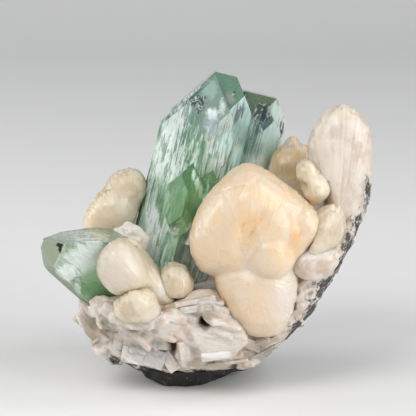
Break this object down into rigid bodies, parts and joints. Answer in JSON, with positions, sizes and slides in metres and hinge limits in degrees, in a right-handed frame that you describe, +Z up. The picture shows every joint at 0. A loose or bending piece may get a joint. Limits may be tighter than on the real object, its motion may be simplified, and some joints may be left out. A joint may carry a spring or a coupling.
{
  "type": "apophyllite cluster",
  "caption": "Cluster of green apophyllite crystals and peach stilbite sheaves on a broken shell of dark basalt, a display mineral specimen that stands on the worn flat under the rock.",
  "frame": {"origin": "on the surface that the cluster stands on, under the middle of its bounding box", "axes": "+Z up, +X to the right as seen from the front, +Y towards the back"},
  "size_m": [0.0976, 0.066, 0.091],
  "materials": {
    "apophyllite": "clear green crystal with a glassy polish, striated along its length",
    "stilbite_peach": "smooth peach mineral with a waxy to pearly sheen",
    "stilbite_pale": "pinkish-white bladed mineral with a pearly sheen",
    "basalt": "rough dark rock with small pale specks"
  },
  "bodies": {
    "root": {"apophyllite_main_group": "apophyllite", "apophyllite_left": "apophyllite", "stilbite_sheaf_centre": "stilbite_peach", "stilbite_sheaf_front_left": "stilbite_peach", "stilbite_sheaf_back_left": "stilbite_peach", "stilbite_fan_right": "stilbite_pale", "stilbite_plate_back": "stilbite_pale", "stilbite_nub_middle": "stilbite_peach", "stilbite_nub_lower": "stilbite_peach", "stilbite_bud_right": "stilbite_peach", "stilbite_lobe_right": "stilbite_peach", "stilbite_lobe_right_lower": "stilbite_peach", "stilbite_bed": "stilbite_pale", "basalt_matrix": "basalt"}
  },
  "joints": []
}
